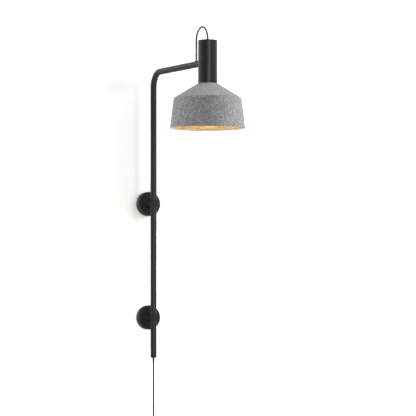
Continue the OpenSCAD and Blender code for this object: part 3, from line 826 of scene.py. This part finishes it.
# The hank's tie: a woven strap round the waist, its free end lapped over the front
STRAP_T = 1.5 * MM
STRAP_EDGE = 0.45 * MM
LAP_FROM, LAP_TO = 1.12 * math.pi, 1.72 * math.pi
LAP_LIFT = 0.98 * STRAP_T


def tie():
    """The strap and its lapped end."""
    lo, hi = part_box("hank_tie")
    middle = ((lo.x + hi.x) / 2, (lo.y + hi.y) / 2)
    t, e, h = STRAP_T, STRAP_EDGE, hi.z - lo.z
    w, deep = hi.x - lo.x - 2 * t, hi.y - lo.y - 2 * t
    section = [(0, e), (e, 0), (t - e, 0), (t, e), (t, h - e), (t - e, h), (e, h), (0, h - e)]

    def band(start, end, lift, count):
        """Sections from one angle to another round a squared oval, moved out by lift."""
        rings = []
        for a in np.linspace(start, end, count):
            c, s = math.cos(a), math.sin(a)
            ring = []
            for out, z in section:
                half_w, half_t = w / 2 + out + lift, deep / 2 + out + lift
                ring.append((
                    middle[0] + half_w * math.copysign(abs(c) ** 0.5, c),
                    middle[1] + half_t * math.copysign(abs(s) ** 0.5, s), lo.z + z,
                ))
            rings.append(ring)
        return rings

    whole = lofted(band(0, 2 * math.pi, 0, 97)[:-1], closed=True)
    loop = mesh_piece("tie_strap", *whole, ARM_BODY, "black_plastic")
    over = lofted(band(LAP_FROM, LAP_TO, LAP_LIFT, 40))
    lap = mesh_piece("tie_lap", *over, ARM_BODY, "black_plastic")
    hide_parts("hank_tie")
    return loop, lap


shell_front, shell_back = switch_shells()
plug_piece = plug()
relief()
strap, strap_lap = tie()


# Floor, world and lights

FLOOR_SIZE, FLOOR_Z = 40, -1.45
FLOOR_BOUNCE = 0.6
WALL_SIZE = 5
# The wall glows more below SHADOW_LOW and beyond SHADOW_WIDE, so shadows end there
SHADOW_LOW = (-0.2, 0.0)
SHADOW_WIDE = (0.16, 0.34)
# Light as (away from the bright side, from the bright side), on rough surfaces and in reflections
BRIGHT_SIDE = (0.18, 0.98, 0)
BRIGHT_EDGE = (-0.1, 0.3)
SOFT_LIGHT = 0.08, 0.9
GLOSS_LIGHT = 0.22, 0.95
# Reflections from steeply above or below fade to this share
STEEP_EDGE = (0.15, 0.6)
STEEP_SHARE = 0.08
# The wall, just behind the lamp's wall plates: how much of the light it shows, and how much it
# glows where shadows show and where they don't
WALL_Y = 0.0006
WALL_LIT = 0.95
WALL_GLOW = 0.38
LOW_GLOW = 0.75


def one_sided(tree, front):
    """The shader, but clear when seen from the back, so that it never hides the lamp."""
    clear = wired(tree, "ShaderNodeBsdfTransparent").outputs[0]
    side = wired(tree, "ShaderNodeNewGeometry").outputs["Backfacing"]
    return wired(tree, "ShaderNodeMixShader", {0: side, 1: front, 2: clear}).outputs[0]


def stage_sheet(name, corners, look):
    """A flat four-cornered backdrop, and its material's node tree and shader."""
    data = bpy.data.meshes.new(name)
    data.from_pydata(corners, [], [(0, 1, 2, 3)])
    sheet = bpy.data.objects.new(name, data)
    scene.collection.objects.link(sheet)
    sheet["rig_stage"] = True
    material = bpy.data.materials.new(look)
    material.use_nodes = True
    data.materials.append(material)
    return sheet, material.node_tree, material.node_tree.nodes["Principled BSDF"]


def stage_floor():
    """The floor: white to the camera, pale grey to the light that it bounces."""
    signs = ((-1, -1), (1, -1), (1, 1), (-1, 1))
    corners = [(x * FLOOR_SIZE, y * FLOOR_SIZE, FLOOR_Z) for x, y in signs]
    tree, shader = stage_sheet("floor", corners, "floor_pale")[1:]
    shader.inputs["Base Color"].default_value = (*grey(FLOOR_BOUNCE), 1)
    shader.inputs["Roughness"].default_value = 0.8
    glow = wired(tree, "ShaderNodeEmission", {"Strength": 1.0}).outputs[0]
    seen = wired(tree, "ShaderNodeLightPath").outputs["Is Camera Ray"]
    mixed = wired(tree, "ShaderNodeMixShader", {0: seen, 1: shader.outputs[0], 2: glow})
    surface = tree.nodes["Material Output"].inputs["Surface"]
    tree.links.new(one_sided(tree, mixed.outputs[0]), surface)


def stage_wall():
    """The white wall that the lamp hangs on: seen from in front only, it shows soft shadows."""
    ends = (
        (-WALL_SIZE, FLOOR_Z), (WALL_SIZE, FLOOR_Z), (WALL_SIZE, WALL_SIZE), (-WALL_SIZE, WALL_SIZE),
    )
    wall, tree, shader = stage_sheet("wall", [(x, WALL_Y, z) for x, z in ends], "wall_white")
    wall.visible_diffuse = wall.visible_glossy = False
    wall.visible_transmission = wall.visible_shadow = False
    shader.inputs["Base Color"].default_value = (*grey(WALL_LIT), 1)
    shader.inputs["Roughness"].default_value = 1.0
    shader.inputs["Specular IOR Level"].default_value = 0.0
    shader.inputs["Emission Color"].default_value = (1, 1, 1, 1)
    place = wired(tree, "ShaderNodeTexCoord").outputs["Object"]
    parts = wired(tree, "ShaderNodeSeparateXYZ", {0: place}).outputs
    low = mapped(tree, parts["Z"], SHADOW_LOW, (LOW_GLOW, WALL_GLOW))
    aside = wired(tree, "ShaderNodeMath", {0: parts["X"]}, operation="ABSOLUTE").outputs[0]
    wide = mapped(tree, aside, SHADOW_WIDE, (WALL_GLOW, LOW_GLOW))
    most = wired(tree, "ShaderNodeMath", {0: low, 1: wide}, operation="MAXIMUM").outputs[0]
    tree.links.new(most, shader.inputs["Emission Strength"])
    surface = tree.nodes["Material Output"].inputs["Surface"]
    tree.links.new(one_sided(tree, shader.outputs[0]), surface)


def studio_world():
    """White where the camera looks. As light it is brighter toward the wall and the right."""
    world = bpy.data.worlds.new("studio")
    scene.world = world
    world.use_nodes = True
    tree = world.node_tree
    back = tree.nodes["Background"]
    back.inputs["Strength"].default_value = 1.0
    direction = wired(tree, "ShaderNodeTexCoord").outputs["Generated"]
    seen = wired(tree, "ShaderNodeLightPath").outputs
    toward = {0: direction, 1: BRIGHT_SIDE}
    along = wired(tree, "ShaderNodeVectorMath", toward, operation="DOT_PRODUCT").outputs["Value"]
    soft = mapped(tree, along, BRIGHT_EDGE, SOFT_LIGHT)
    gloss = mapped(tree, along, BRIGHT_EDGE, GLOSS_LIGHT)
    up = wired(tree, "ShaderNodeSeparateXYZ", {0: direction}).outputs["Z"]
    steep = wired(tree, "ShaderNodeMath", {0: up}, operation="ABSOLUTE").outputs[0]
    fade = mapped(tree, steep, STEEP_EDGE, (1.0, STEEP_SHARE))
    banded = wired(tree, "ShaderNodeMath", {0: gloss, 1: fade}, operation="MULTIPLY").outputs[0]
    choice = {"Factor": seen["Is Glossy Ray"], "A": soft, "B": banded}
    light = wired(tree, "ShaderNodeMix", choice).outputs["Result"]
    choice = {"Factor": seen["Is Camera Ray"], "A": light, "B": 1.0}
    tree.links.new(wired(tree, "ShaderNodeMix", choice).outputs["Result"], back.inputs["Color"])


def softbox(name, place, aim, size, radiance, gloss=False):
    """A rectangular area light at place that faces aim; it lights surfaces or is reflected."""
    data = bpy.data.lights.new(name, "AREA")
    data.shape = "RECTANGLE"
    data.size, data.size_y = size
    data.energy = radiance * math.pi * size[0] * size[1]
    light = bpy.data.objects.new(name, data)
    scene.collection.objects.link(light)
    light.location = place
    light.rotation_euler = (Vector(aim) - Vector(place)).to_track_quat("-Z", "Y").to_euler()
    light.visible_camera = False
    light.visible_glossy = gloss
    light.visible_diffuse = not gloss


studio_world()
stage_floor()
stage_wall()
softbox("high_key", (1.6, -1.4, 3.4), (0, -0.3, 0.2), (1.4, 1.4), 6.6)
softbox("front_key", (2.5, -3.3, 1.4), (0, -0.3, 0.2), (1.3, 1.3), 9.7)
softbox("left_rim", (-3.4, 0.1, 0.6), (0, -0.4, 0.3), (1.5, 1.5), 7.2)
softbox("side_key", (3.6, -2.0, 1.4), (0, -0.3, 0.2), (1.3, 1.3), 14.7)
softbox("front_strip", (-0.6, -4.4, 0.1), (0, -0.2, 0.0), (1.5, 4.0), 2.6, gloss=True)
scene.view_settings.view_transform = "Standard"

# Every piece and every CAD node gets the finish of its slot
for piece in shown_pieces():
    if "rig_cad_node" in piece:
        for material_slot in piece.material_slots:
            material_slot.material = FINISHES[material_slot.material.name.split(".")[0]]
    else:
        piece.data.materials.clear()
        piece.data.materials.append(FINISHES[OWN_FINISH.get(piece.name, piece["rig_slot"])])

bpy.context.view_layer.update()
